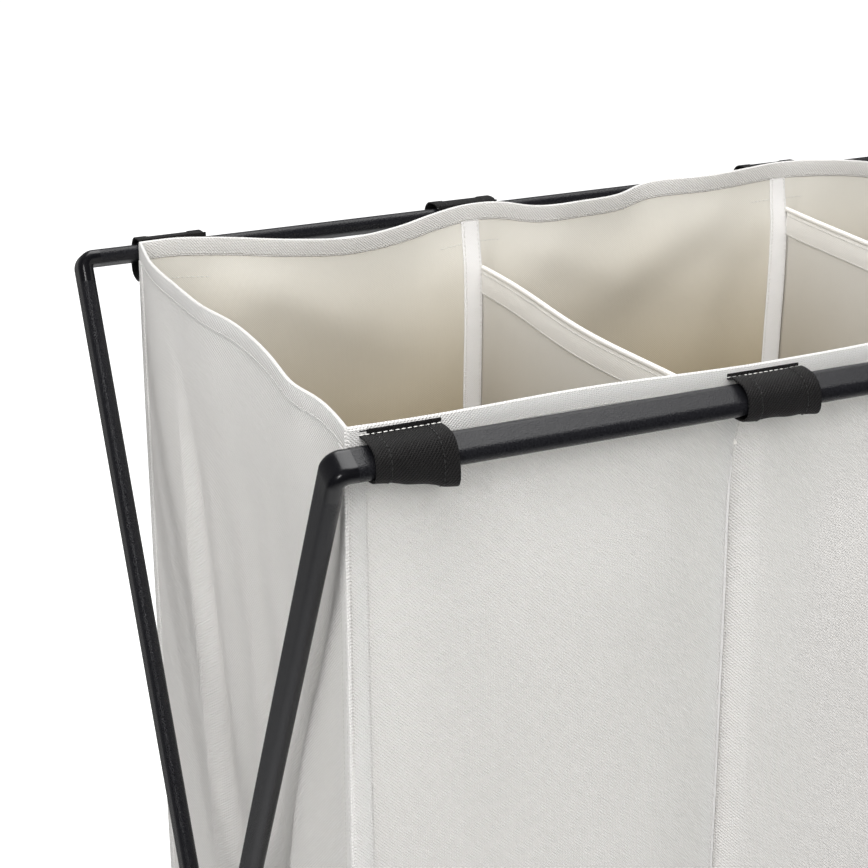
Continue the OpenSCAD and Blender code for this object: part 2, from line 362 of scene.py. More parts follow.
# %% Cloth finishes
TOP_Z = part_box("bag_front_panel")[1].z
CANVAS = woven("canvas", (0.75, 0.737, 0.717), (0.82, 0.808, 0.79), 0.0014, 0.0005, 0.85, 0.35)
# The lining's colours are its beige coating, and are also set darker than the canvas as painted shade of the
# bag's inside.
LINING = woven("lining", (0.71, 0.685, 0.62), (0.76, 0.737, 0.675), 0.0011, 0.0001, 0.55, 0.7)
# Painted shade: the lining darkens and warms from just below the top down into the deep bag.
paint_depth_shade(LINING, TOP_Z - 0.02, TOP_Z - 0.23, (0.36, 0.265, 0.11))
DIVIDER_CLOTH = woven("divider_cloth", (0.72, 0.70, 0.655), (0.77, 0.75, 0.71), 0.0010, 0.0001, 0.6, 0.8)
# Painted shade: the dividers darken and warm from below their top down into the deep bag.
paint_depth_shade(DIVIDER_CLOTH, TOP_Z - 0.05, TOP_Z - 0.24, (0.40, 0.33, 0.21))
TAPE = woven("white_tape", (0.66, 0.65, 0.64), (0.72, 0.71, 0.70), 0.0011, 0.00018, 0.8)
BINDING_CLOTH = woven("binding_cloth", (0.72, 0.70, 0.66), (0.77, 0.75, 0.71), 0.0010, 0.00012, 0.7)
LIGHT_THROUGH = 0.22
for material in (CANVAS, LINING, DIVIDER_CLOTH):
    let_light_through(material, LIGHT_THROUGH)
LOOP_CLOTH = woven(
    "black_webbing",
    (0.001, 0.001, 0.001),
    (0.014, 0.013, 0.013),
    ridge=0.0013,
    depth=0.0005,
    roughness=0.60,
    mottle=0.4,
    strength=0.9,
    sheen=0.02,
)


# %% Thread
def thread(name, dark, light):
    """Twisted sewing thread; a fine noise along it stands for the twist."""
    material = new_material(name, light, 0.6, Sheen_Weight=0.1)
    tree = material.node_tree
    place = add_node(tree, "ShaderNodeTexCoord").outputs["Object"]
    twist = add_node(tree, "ShaderNodeTexNoise", Vector=place, Scale=2600.0, Detail=1.0)
    two_colors(material, twist.outputs["Fac"], dark, light)
    bump(material, twist.outputs["Fac"], 0.0001, 0.5)
    return material


WHITE_THREAD = thread("white_thread", (0.74, 0.73, 0.70), (0.90, 0.89, 0.86))
CLOTH_THREAD = thread("cloth_thread", (0.50, 0.49, 0.46), (0.68, 0.67, 0.64))
BLACK_THREAD = thread("black_thread", (0.004, 0.004, 0.004), (0.018, 0.018, 0.018))
print("materials so far:", ", ".join(sorted(material.name for material in bpy.data.materials)))

# %% [markdown]
# ## The bag's cloth
# The bag is cut as flat rectangles: front, rear, two ends, a floor and two dividers. Each is kept as a
# grid of points, so that hems, tapes and stitches can follow it once it hangs. The shape comes from
# how it is held: at the loops, along the seams and by the floor. Between those the cloth has a little
# to spare, and that goes into a few sags and folds. They are given as curves through a few
# points, because that is quicker to steer than a simulation and gives the same cloth every time.

# %% Sizes of the bag
FRONT_Y = middle("bag_front_panel").y
REAR_Y = middle("bag_rear_panel").y
HALF_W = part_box("bag_front_panel")[1].x
FLOOR_Z = middle("middle_floor").z
DEPTH = TOP_Z - FLOOR_Z
DIVIDER_XS = [middle("left_divider").x, middle("right_divider").x]
DIVIDER_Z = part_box("left_divider")[1].z
CLOTH = 0.0010
HEM = 0.012
LOOP_NAMES = ["far_left", "left", "right", "far_right"]
LOOP_XS = [middle("front_loop_" + name).x for name in LOOP_NAMES]
LOOP_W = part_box("front_loop_left")[1].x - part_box("front_loop_left")[0].x


def steps(*stops, count):
    """Evenly spaced values through the stops, with count steps in each stretch."""
    values = [stops[0]]
    for start, end, n in zip(stops, stops[1:], count):
        values += [start + (end - start) * (k + 1) / n for k in range(n)]
    return np.array(values)


NEAR = 0.014
SEAM_ZONES = [x + offset for x in DIVIDER_XS for offset in (-NEAR, NEAR)]
XS = steps(-HALF_W, *SEAM_ZONES, HALF_W, count=(52, 28, 54, 28, 52))
YS = steps(FRONT_Y, REAR_Y, count=(96,))
ZS = steps(FLOOR_Z, DIVIDER_Z, TOP_Z - HEM, TOP_Z, count=(140, 6, 4))
print("the bag is", round(2 * HALF_W, 3), "by", round(REAR_Y - FRONT_Y, 3), "by", round(DEPTH, 3), "m")

# %% [markdown]
# ### Curves for the folds
# Each pair below is a place along an edge and how far the cloth is there from its flat cut, both in
# metres. The rear hem sags between its loops, and where it sags it also leans inwards. The ends' hems
# wander in and out. Below the hem the ends are gusseted: two creases run from the top corners down
# towards the middle, and the cloth between them lies a little further in. The gusset's pairs are a
# depth below the top, and where a crease is there, or how far in the cloth lies.


# %% Folds drawn
def through(stops, places):
    """Smooth curve through the stops, which are (place, value), read at some places."""
    x, y = np.array(stops, float).T
    slope = np.gradient(y, x)
    k = np.clip(np.searchsorted(x, places) - 1, 0, len(x) - 2)
    span = x[k + 1] - x[k]
    t = np.clip((places - x[k]) / span, 0, 1)
    rise = (2 * t**3 - 3 * t**2 + 1) * y[k] + (3 * t**2 - 2 * t**3) * y[k + 1]
    return rise + span * ((t**3 - 2 * t**2 + t) * slope[k] + (t**3 - t**2) * slope[k + 1])


def ramp(value, start, end):
    """0 at start, 1 at end, smooth between them and flat beyond."""
    t = np.clip((value - start) / (end - start), 0, 1)
    return t * t * (3 - 2 * t)


REAR_SAG = (
    (-0.360, 0.004), (-0.334, 0.004), (-0.310, 0.006), (-0.255, 0.013), (-0.212, 0.016), (-0.176, 0.013),
    (-0.150, 0.008), (-0.124, 0.005), (-0.104, 0.005), (-0.077, 0.010), (-0.038, 0.010), (-0.006, 0.009),
    (0.014, 0.005), (0.060, 0.003), (0.124, 0.0015), (0.175, 0.004), (0.229, 0.011), (0.290, 0.008),
    (0.334, 0.003), (0.360, 0.003),
)
REAR_LEAN = (
    (-0.360, 0.0), (-0.334, 0.0), (-0.300, 0.0015), (-0.212, 0.0065), (-0.160, 0.003), (-0.124, 0.0),
    (-0.095, 0.003), (-0.050, 0.0075), (-0.012, 0.005), (0.014, 0.0), (0.040, 0.004), (0.066, 0.007),
    (0.100, 0.004), (0.124, 0.0), (0.180, 0.004), (0.229, 0.0065), (0.290, 0.003), (0.334, 0.0), (0.360, 0.0),
)
FRONT_SAG = (
    (-0.360, 0.0), (-0.334, 0.0005), (-0.225, -0.0008), (-0.124, 0.0012), (-0.100, 0.001), (0.0, -0.001),
    (0.124, 0.001), (0.220, -0.0005), (0.334, 0.001), (0.360, 0.0),
)
END_OUT = (
    (-0.1835, 0.0), (-0.172, -0.0010), (-0.138, -0.0016), (-0.108, 0.0008), (-0.078, -0.0004),
    (-0.042, -0.0016), (-0.004, -0.0010), (0.034, 0.0030), (0.085, 0.0036), (0.140, 0.0030),
    (0.1832, -0.0035),
)
END_SAG = (
    (-0.1835, 0.0), (-0.150, -0.0005), (-0.108, 0.0012), (-0.070, -0.0012), (-0.030, -0.0012),
    (0.040, 0.002), (0.090, 0.0035), (0.140, 0.0040), (0.1832, 0.004),
)
print("the rear hem sags by up to", round(max(sag for _, sag in REAR_SAG) * 1000, 1), "mm")

# %% Gusset of the ends
GUSSET_FRONT = ((0.0, -0.186), (0.07, -0.180), (0.15, -0.143), (0.23, -0.106), (0.36, -0.070), (0.61, -0.045))
GUSSET_REAR = ((0.0, 0.160), (0.045, 0.094), (0.107, 0.080), (0.207, 0.073), (0.312, 0.056), (0.61, 0.040))
GUSSET_IN = (
    (0.0, 0.0), (0.05, 0.0012), (0.12, 0.0060), (0.25, 0.0120), (0.42, 0.0135), (0.54, 0.009), (0.61, 0.0),
)
CREASE_W = 0.019
RIPPLE = 0.0010
RIPPLE_PITCH = 0.052


def end_panel_out(y, depth):
    """How far an end panel stands out from its flat cut."""
    hem_wave = through(END_OUT, y) * (0.30 + 0.70 * np.exp(-depth / 0.10)) * ramp(DEPTH - depth, 0, 0.10)
    front = through(GUSSET_FRONT, depth)
    rear = through(GUSSET_REAR, depth)
    between = ramp(y, front, front + CREASE_W) * ramp(-y, -rear - CREASE_W, -rear)
    ripple = RIPPLE * np.sin(math.tau * y / RIPPLE_PITCH + 5 * depth)
    ripple = ripple * ramp(depth, 0.05, 0.2) * ramp(DEPTH - depth, 0, 0.1)
    return hem_wave + ripple * between - through(GUSSET_IN, depth) * between


# %% [markdown]
# The long panels are pinched where a divider is sewn to them, so they billow a little between the
# seams, and the weight of the cloth drags soft valleys from the loops. Near the rail a long panel may
# only lean inwards, because the tube is a finger's breadth away.


# %% Folds of the long panels
SEAM_SHIFT = 0.007
SEAM_PINCH = 0.0062
PINCH_LEFT = 0.046
PINCH_RIGHT = 0.014
GROOVE = 0.0034
GROOVE_W = 0.0040
BILLOW = 0.0055
DRAGS = (
    {"start": (0.030, -0.030), "end": (0.098, -0.250), "width": 0.024, "depth": 0.0048},
    {"start": (0.040, -0.026), "end": (0.165, -0.080), "width": 0.015, "depth": 0.0034},
    {"start": (-0.020, -0.028), "end": (-0.040, -0.190), "width": 0.020, "depth": 0.0028},
)


def valley(x, depth, drag, center, side):
    """Depth of a soft valley that runs from near a loop; side mirrors it."""
    start = np.array(drag["start"])
    end = np.array(drag["end"])
    length = np.linalg.norm(end - start)
    along_way = (end - start) / length
    dx = side * (x - center) - start[0]
    dz = -depth - start[1]
    along = dx * along_way[0] + dz * along_way[1]
    off = dx * along_way[1] - dz * along_way[0]
    width = drag["width"] * (1 + np.clip(along / length, 0, 2))
    fade = ramp(along, -0.02, 0.03) * ramp(length - along, -0.10, 0.05)
    return drag["depth"] * np.exp(-((off / width) ** 2)) * fade


def long_panel_out(x, depth, side, seam_xs):
    """How far a long panel billows out from its flat cut. side is -1 at the front and 1 at the rear."""
    low = ramp(depth, 0.030, 0.12) * ramp(DEPTH - depth, 0, 0.12)
    edges = [-HALF_W, *seam_xs, HALF_W]
    out = np.zeros_like(x)
    for left, right in zip(edges, edges[1:]):
        share = np.clip((x - left) / (right - left), 0, 1)
        out += BILLOW * np.sin(math.pi * share) * low
    for seam in seam_xs:
        near = np.where(x < seam, (seam - x) / PINCH_LEFT, (x - seam) / PINCH_RIGHT)
        pinch = np.clip(1 - near, 0, 1) ** 1.4
        out -= SEAM_PINCH * pinch * ramp(depth, 0.004, 0.05) * ramp(DEPTH - depth, 0, 0.06)
        if side < 0:
            groove = ramp(-np.abs(x - seam), -GROOVE_W, 0)
            out -= GROOVE * groove * ramp(depth, 0.03, 0.10) * ramp(DEPTH - depth, 0, 0.06)
    for number, center in enumerate(LOOP_XS):
        inward = 1 if number < 2 else -1
        for drag in DRAGS:
            out -= valley(x, depth, drag, center, inward) * ramp(DEPTH - depth, 0, 0.1)
    return out


# %% [markdown]
# ### Hang the panels
# A panel's flat cut is a grid of places along it (u) and heights (v). Hanging it is one function per
# kind of panel, from flat cut to where each point is. Edges that are sewn together come out within
# about 3 mm of each other, and a lapped seam goes over them.


# %% Hang the panels
LEAN_REACH = 0.045
CORNER_IN = -END_OUT[-1][1]
TOP_DIP = 0.0015
BELLY = 0.0045
FLOOR_SAG = 0.0035
DIVIDER_TOPS = {"left": (0.821, 0.802), "right": (0.822, 0.815)}
DIVIDER_ZS = ZS[ZS < DIVIDER_Z + 1e-6]


def fall(depth, reach):
    """1 at the top, fading over a reach."""
    return np.exp(-depth / reach)


def sag_of(sag, depth):
    """A hem's sag is taken up by the cloth below it."""
    return sag * (1 - ramp(depth, 0, DEPTH * 0.8))


def hang_long(side):
    """Front or rear panel: side is -1 at the front and 1 at the rear."""
    x, z = np.meshgrid(XS, ZS, indexing="ij")
    depth = TOP_Z - z
    seam_xs = [center + side * SEAM_SHIFT for center in DIVIDER_XS]
    out = long_panel_out(x, depth, side, seam_xs)
    sag = through(REAR_SAG if side > 0 else FRONT_SAG, x)
    if side > 0:
        out -= through(REAR_LEAN, x) * fall(depth, LEAN_REACH) * (1 - 0.9 * ramp(depth, 0.05, 0.12))
        corner_in = CORNER_IN * ramp(np.abs(x), HALF_W - 0.05, HALF_W) * fall(depth, 0.10) * np.sign(x)
        x = x - corner_in * ramp(DEPTH - depth, 0, 0.1)
    y = (REAR_Y if side > 0 else FRONT_Y) + side * out
    return np.stack([x, y, z - sag_of(sag, depth)], axis=-1)


def hang_end(side):
    """End panel: side is -1 at the left and 1 at the right."""
    y, z = np.meshgrid(YS, ZS, indexing="ij")
    depth = TOP_Z - z
    out = end_panel_out(y, depth)
    return np.stack([side * (HALF_W + out), y, z - sag_of(through(END_SAG, y), depth)], axis=-1)


def seam_y(side, number, z):
    """Where a divider is sewn to a long panel, which is pinched in there."""
    seam_xs = [center + side * SEAM_SHIFT for center in DIVIDER_XS]
    x = np.full_like(z, seam_xs[number])
    out = long_panel_out(x, TOP_Z - z, side, seam_xs)
    return (REAR_Y if side > 0 else FRONT_Y) + side * (out - CLOTH)


def hang_divider(number, name):
    """Divider, whose top edge runs straight from its height at the front to its height at the rear."""
    y, z = np.meshgrid(YS, DIVIDER_ZS, indexing="ij")
    share = (y - FRONT_Y) / (REAR_Y - FRONT_Y)
    front_top, rear_top = DIVIDER_TOPS[name]
    top = front_top + (rear_top - front_top) * share - TOP_DIP * np.sin(math.pi * share)
    low = (z - FLOOR_Z) / (DIVIDER_Z - FLOOR_Z)
    height = FLOOR_Z + (top - FLOOR_Z) * low
    belly = BELLY * np.sin(math.pi * share) * np.sin(math.tau * (0.9 * share + 1.3 * low) + 2 * number)
    shift = SEAM_SHIFT * (2 * share - 1) * ramp(low, 0, 0.3)
    x = DIVIDER_XS[number] + shift + belly * ramp(low, 0, 0.2)
    front, rear = seam_y(-1, number, height), seam_y(1, number, height)
    return np.stack([x, front + (rear - front) * share, height], axis=-1)


def hang_floor():
    """Floor, which sags in each of its three compartments."""
    x, y = np.meshgrid(XS, YS, indexing="ij")
    share_x = np.zeros_like(x)
    edges = [XS[0], *DIVIDER_XS, XS[-1]]
    for left, right in zip(edges, edges[1:]):
        inside = (x >= left) & (x <= right)
        share_x = np.where(inside, np.sin(math.pi * (x - left) / (right - left)), share_x)
    share_y = np.sin(math.pi * (y - FRONT_Y) / (REAR_Y - FRONT_Y))
    return np.stack([x, y, FLOOR_Z - FLOOR_SAG * np.sqrt(np.abs(share_x * share_y))], axis=-1)


PANELS = {
    "front": hang_long(-1),
    "rear": hang_long(1),
    "left_end": hang_end(-1),
    "right_end": hang_end(1),
    "left_divider": hang_divider(0, "left"),
    "right_divider": hang_divider(1, "right"),
    "floor": hang_floor(),
}
FLAT = {
    "front": (XS, ZS),
    "rear": (XS, ZS),
    "left_end": (YS, ZS),
    "right_end": (YS, ZS),
    "left_divider": (YS, DIVIDER_ZS),
    "right_divider": (YS, DIVIDER_ZS),
    "floor": (XS, YS),
}
OUTWARD = {
    "front": (0, -1, 0),
    "rear": (0, 1, 0),
    "left_end": (-1, 0, 0),
    "right_end": (1, 0, 0),
    "left_divider": (-1, 0, 0),
    "right_divider": (-1, 0, 0),
    "floor": (0, 0, -1),
}
print("panels:", ", ".join(PANELS))


# %% [markdown]
# ### From grid to cloth
# A grid becomes a mesh of quads that carries its flat-cut coordinates as a UV map. Solidify then gives
# it the thickness of cloth; the outer skin keeps the canvas and the inner one gets the coated lining.
# Its result is kept as a plain mesh, because a live one would spike where the folded bag is crumpled.
# Pieces on a long panel ride on the body of that side of the bag. The ends, the dividers and the floor
# join both sides; they ride on the front's body, each with a mesh of its own. The long panels are
# pinched in where the dividers are sewn to them.


# %% Mesh of a grid
def grid_mesh(name, grid, flat_u, flat_v, outward):
    """Mesh of a grid of points that faces outward, with its flat cut in the UV map named cloth."""
    columns, rows = grid.shape[:2]
    index = np.arange(columns * rows).reshape(columns, rows)
    corners = [index[:-1, :-1], index[1:, :-1], index[1:, 1:], index[:-1, 1:]]
    faces = np.stack(corners, axis=-1).reshape(-1, 4)
    first = np.cross(grid[-1, 0] - grid[0, 0], grid[0, -1] - grid[0, 0])
    if np.dot(first, outward) < 0:
        faces = faces[:, ::-1]
    mesh = bpy.data.meshes.new(name)
    mesh.from_pydata(grid.reshape(-1, 3).tolist(), [], faces.tolist())
    u, v = np.meshgrid(flat_u, flat_v, indexing="ij")
    flat = np.stack([u, v], axis=-1).reshape(-1, 2)
    layer = mesh.uv_layers.new(name="cloth")
    layer.data.foreach_set("uv", flat[faces.reshape(-1)].astype(np.float32).ravel())
    mesh.shade_smooth()
    return mesh


def new_piece(name, mesh, *materials):
    """Object at the origin with a mesh and its materials."""
    piece = bpy.data.objects.new(name, mesh)
    bpy.context.scene.collection.objects.link(piece)
    for material in materials:
        mesh.materials.append(material)
    return piece


def thicken(piece, thickness):
    """Gives a sheet its thickness; the inner skin takes the piece's last material."""
    wall = piece.modifiers.new("wall", "SOLIDIFY")
    wall.thickness = thickness
    wall.offset = 0
    wall.material_offset = len(piece.data.materials) - 1
    evaluated = piece.evaluated_get(bpy.context.evaluated_depsgraph_get())
    solid = bpy.data.meshes.new_from_object(evaluated)
    piece.modifiers.remove(wall)
    piece.data = solid


# %% Attach a piece to its body
DIVIDERS = ("left_divider", "right_divider", "dividers")
LONG_PANELS = {"front": "bag_front", "rear": "bag_rear"}
LONG_SIDES = {"front": -1, "rear": 1}


def attach(piece, part):
    """A long panel's piece rides on its frame's bag body; a piece of what joins them rides on the front's,
    with a mesh of its own.
    """
    if part in LONG_PANELS:
        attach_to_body(piece, LONG_PANELS[part])
    elif part in DIVIDERS:
        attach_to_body(piece, "bag_front")
        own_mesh(piece)
    else:
        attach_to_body(piece, "bag_front")
        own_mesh(piece)
    return piece


# %% The panels
PANEL_CLOTH = {"left_divider": DIVIDER_CLOTH, "right_divider": DIVIDER_CLOTH}
REPLACED = {
    "front": ["bag_front_panel"],
    "rear": ["bag_rear_panel"],
    "left_end": ["bag_left_end"],
    "right_end": ["bag_right_end"],
    "left_divider": ["left_divider"],
    "right_divider": ["right_divider"],
    "floor": ["left_floor", "middle_floor", "right_floor"],
}
for part, grid in PANELS.items():
    outer = PANEL_CLOTH.get(part, CANVAS)
    inner = PANEL_CLOTH.get(part, LINING)
    title = "cloth_" + part
    piece = new_piece(title, grid_mesh(title, grid, *FLAT[part], OUTWARD[part]), outer, inner)
    thicken(piece, CLOTH)
    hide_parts(*REPLACED[part])
    attach(piece, part)
    print(title, "is cut", [round(float(np.ptp(flat)), 3) for flat in FLAT[part]])

# %% [markdown]
# ## Lines on the cloth
# A hem, a tape or a row of stitches is a straight line on the flat cut. Once the panel hangs, that line
# follows its folds. Tracing it means reading the hung grid along the flat line, and also the direction
# in which the cloth faces there, so that what is sewn on lies flat on the cloth.


# %% Trace a line
TRACE_GAP = 0.004
SURFACES = {part: (grid, *FLAT[part], OUTWARD[part]) for part, grid in PANELS.items()}


def facing(grid, outward):
    """Direction in which a grid faces at each of its points."""
    normal = np.cross(np.gradient(grid, axis=0), np.gradient(grid, axis=1))
    normal /= np.linalg.norm(normal, axis=-1, keepdims=True)
    first = np.cross(grid[-1, 0] - grid[0, 0], grid[0, -1] - grid[0, 0])
    return normal if np.dot(first, outward) > 0 else -normal


def trace(surface, start, end, lift):
    """Points along a flat line from start to end, lifted off the hung cloth, and the way it faces."""
    grid, flat_u, flat_v, outward = SURFACES[surface]
    start, end = np.array(start, float), np.array(end, float)
    count = max(2, int(np.linalg.norm(end - start) / TRACE_GAP) + 1)
    u, v = np.linspace(start, end, count).T
    i = np.clip(np.searchsorted(flat_u, u, side="right") - 1, 0, len(flat_u) - 2)
    j = np.clip(np.searchsorted(flat_v, v, side="right") - 1, 0, len(flat_v) - 2)
    s = ((u - flat_u[i]) / (flat_u[i + 1] - flat_u[i]))[:, None]
    t = ((v - flat_v[j]) / (flat_v[j + 1] - flat_v[j]))[:, None]

    def read(values):
        lower = (1 - s) * (1 - t) * values[i, j] + s * (1 - t) * values[i + 1, j]
        return lower + (1 - s) * t * values[i, j + 1] + s * t * values[i + 1, j + 1]

    face = read(facing(grid, outward))
    face /= np.linalg.norm(face, axis=1, keepdims=True)
    return read(grid) + lift * face, face


points, _ = trace("rear", (XS[0], TOP_Z - HEM), (XS[-1], TOP_Z - HEM), 0)
print("the rear hem's lower edge sags", round(float(np.ptp(points[:, 2])) * 1000, 1), "mm")

# %% [markdown]
# ## Two Geometry Nodes trees
# Everything sewn onto the bag follows a line, so two small trees make all of it. The first sweeps a
# flat strip with round edges along the lines: hems, tapes and seams. The second sets one small bead per
# stitch along the lines, turned so that it lies along the seam and flat on the cloth. Both read an
# attribute named face, which trace gives. A tree ends in plain geometry with its material set.


# %% Tree helpers
def new_tree(name, **sizes):
    """Geometry Nodes tree that takes lines, sizes and a material, and the outputs of its input node."""
    tree = bpy.data.node_groups.new(name, "GeometryNodeTree")
    tree.interface.new_socket("Lines", in_out="INPUT", socket_type="NodeSocketGeometry")
    for size, value in sizes.items():
        kind = "NodeSocketInt" if isinstance(value, int) else "NodeSocketFloat"
        tree.interface.new_socket(size, in_out="INPUT", socket_type=kind).default_value = value
    tree.interface.new_socket("Material", in_out="INPUT", socket_type="NodeSocketMaterial")
    tree.interface.new_socket("Geometry", in_out="OUTPUT", socket_type="NodeSocketGeometry")
    return tree, tree.nodes.new("NodeGroupInput").outputs


def close_tree(tree, geometry, material):
    """Last nodes of a tree: smooth, plain, with its material."""
    smooth = add_node(tree, "GeometryNodeSetShadeSmooth", Geometry=geometry)
    plain = add_node(tree, "GeometryNodeRealizeInstances", Geometry=smooth.outputs[0])
    painted = add_node(tree, "GeometryNodeSetMaterial", Geometry=plain.outputs[0], Material=material)
    end = tree.nodes.new("NodeGroupOutput")
    tree.links.new(painted.outputs[0], end.inputs[0])
    return tree


# %% Strip tree
ROUNDING = 0.45


def strip_tree():
    """Sweeps a flat strip with round edges along lines; the strip faces the way the lines do."""
    tree, given = new_tree("strip", Width=0.012, Thickness=0.002)
    face = add_node(tree, "GeometryNodeInputNamedAttribute", {"data_type": "FLOAT_VECTOR"}, Name="face")
    line = add_node(tree, "GeometryNodeMeshToCurve", Mesh=given["Lines"])
    free = {"mode": "FREE"}
    turned = add_node(tree, "GeometryNodeSetCurveNormal", free, Curve=line.outputs[0], Normal=face.outputs[0])
    run = tree.nodes.new("GeometryNodeCaptureAttribute")
    run.capture_items.new("FLOAT", "run")
    tree.links.new(turned.outputs[0], run.inputs["Geometry"])
    tree.links.new(tree.nodes.new("GeometryNodeSplineParameter").outputs["Length"], run.inputs["run"])
    outline = add_node(tree, "GeometryNodeCurvePrimitiveQuadrilateral")
    feed(tree, outline.inputs["Width"], given["Thickness"])
    feed(tree, outline.inputs["Height"], given["Width"])
    radius = combine(tree, "MULTIPLY", given["Thickness"], ROUNDING)
    rounded = add_node(tree, "GeometryNodeFilletCurve", {"mode": "POLY"}, Curve=outline.outputs[0], Count=3)
    feed(tree, rounded.inputs["Radius"], radius)
    across = tree.nodes.new("GeometryNodeCaptureAttribute")
    across.capture_items.new("VECTOR", "across")
    tree.links.new(rounded.outputs[0], across.inputs["Geometry"])
    tree.links.new(tree.nodes.new("GeometryNodeInputPosition").outputs[0], across.inputs["across"])
    swept = add_node(
        tree,
        "GeometryNodeCurveToMesh",
        Curve=run.outputs["Geometry"],
        Profile_Curve=across.outputs["Geometry"],
        Fill_Caps=True,
    )
    parts = add_node(tree, "ShaderNodeSeparateXYZ", Vector=across.outputs["across"])
    flat = add_node(tree, "ShaderNodeCombineXYZ", X=run.outputs["run"], Y=parts.outputs["Y"])
    marked = add_node(
        tree,
        "GeometryNodeStoreNamedAttribute",
        {"data_type": "FLOAT2", "domain": "CORNER"},
        Geometry=swept.outputs[0],
        Name="cloth",
        Value=flat.outputs[0],
    )
    return close_tree(tree, marked.outputs[0], given["Material"])


# %% Stitch tree
def stitch_tree():
    """Sets a bead for each stitch along lines; a fixed seed varies the stitches a little."""
    tree, given = new_tree("stitches", Spacing=0.0031, Length=0.0031, Width=0.0006, Height=0.0005, Seed=7)
    face = add_node(tree, "GeometryNodeInputNamedAttribute", {"data_type": "FLOAT_VECTOR"}, Name="face")
    line = add_node(tree, "GeometryNodeMeshToCurve", Mesh=given["Lines"])
    places = add_node(
        tree, "GeometryNodeResampleCurve", {"mode": "LENGTH"}, Curve=line.outputs[0], Length=given["Spacing"]
    )
    turn = add_node(
        tree,
        "FunctionNodeAxesToRotation",
        {"primary_axis": "X", "secondary_axis": "Z"},
        Primary_Axis=tree.nodes.new("GeometryNodeInputTangent").outputs[0],
        Secondary_Axis=face.outputs[0],
    )
    bead = add_node(tree, "GeometryNodeMeshIcoSphere", Radius=0.5, Subdivisions=1)
    size = add_node(tree, "ShaderNodeCombineXYZ", X=given["Length"], Y=given["Width"], Z=given["Height"])
    vary = add_node(tree, "FunctionNodeRandomValue", {"data_type": "FLOAT_VECTOR"}, Seed=given["Seed"])
    vary.inputs[0].default_value = (0.86, 0.85, 0.85)
    vary.inputs[1].default_value = (1.08, 1.15, 1.15)
    scale = combine(tree, "MULTIPLY", size.outputs[0], vary.outputs[0], "ShaderNodeVectorMath")
    sewn = add_node(
        tree,
        "GeometryNodeInstanceOnPoints",
        Points=places.outputs[0],
        Instance=bead.outputs[0],
        Rotation=turn.outputs[0],
        Scale=scale,
    )
    return close_tree(tree, sewn.outputs[0], given["Material"])


STRIP = strip_tree()
STITCH = stitch_tree()
print("trees:", STRIP.name, len(STRIP.nodes), "nodes;", STITCH.name, len(STITCH.nodes), "nodes")


# %% Grow a mesh along lines
def line_object(name, lines):
    """Object whose edges run along lines, with the way each point faces as an attribute."""
    points = np.concatenate([places for places, _ in lines])
    faces = np.concatenate([face for _, face in lines])
    edges, first = [], 0
    for places, _ in lines:
        edges += [(first + k, first + k + 1) for k in range(len(places) - 1)]
        first += len(places)
    mesh = bpy.data.meshes.new(name)
    mesh.from_pydata(points.tolist(), edges, [])
    attribute = mesh.attributes.new("face", "FLOAT_VECTOR", "POINT")
    attribute.data.foreach_set("vector", faces.astype(np.float32).ravel())
    guide = bpy.data.objects.new(name, mesh)
    bpy.context.scene.collection.objects.link(guide)
    return guide


def grow(name, tree, lines, material, **sizes):
    """Plain mesh that a tree makes along lines."""
    guide = line_object(name + "_lines", lines)
    nodes = guide.modifiers.new("nodes", "NODES")
    nodes.node_group = tree
    sockets = {item.name: item.identifier for item in tree.interface.items_tree if item.in_out == "INPUT"}
    nodes[sockets["Material"]] = material
    for size, value in sizes.items():
        nodes[sockets[size]] = value
    evaluated = guide.evaluated_get(bpy.context.evaluated_depsgraph_get())
    mesh = bpy.data.meshes.new_from_object(evaluated)
    mesh.name = name
    bpy.data.objects.remove(guide)
    return mesh


# %% [markdown]
# ## Hems, tapes and seams
# The bag's top edge is turned over twice and stitched, so it is thicker and rounder than the panel. The
# dividers have a broad white binding with a corded edge. White tapes cover the dividers' seams inside,
# and lapped seams run down the four corners and round the floor.

# %% Sewn strips
ON_PIECE = {part: [] for part in PANELS}


def sewn_strip(name, part, lines, material, width, thickness):
    """Strip along lines of one panel, as a piece."""
    mesh = grow(name, STRIP, lines, material, Width=width, Thickness=thickness)
    piece = new_piece(name, mesh)
    ON_PIECE[part].append(piece)
    return attach(piece, part)


WALLS = ("front", "rear", "left_end", "right_end")
HEM_T = 0.0021
BINDING, BINDING_T = 0.020, 0.0019
CORD, CORD_T = 0.0036, 0.0030
for part in WALLS:
    flat_u = FLAT[part][0]
    height = TOP_Z - HEM / 2
    line = trace(part, (flat_u[0], height), (flat_u[-1], height), 0)
    sewn_strip("hem_" + part, part, [line], CANVAS, HEM + 0.0006, HEM_T)
for part in ("left_divider", "right_divider"):
    height = DIVIDER_Z - BINDING / 2
    line = trace(part, (YS[0], height), (YS[-1], height), 0)
    sewn_strip("binding_" + part, part, [line], BINDING_CLOTH, BINDING, BINDING_T)
    height = DIVIDER_Z - 0.0008
    line = trace(part, (YS[0], height), (YS[-1], height), 0)
    sewn_strip("corded_edge_" + part, part, [line], BINDING_CLOTH, CORD, CORD_T)
print("hems and bindings:", sum(len(pieces) for pieces in ON_PIECE.values()))

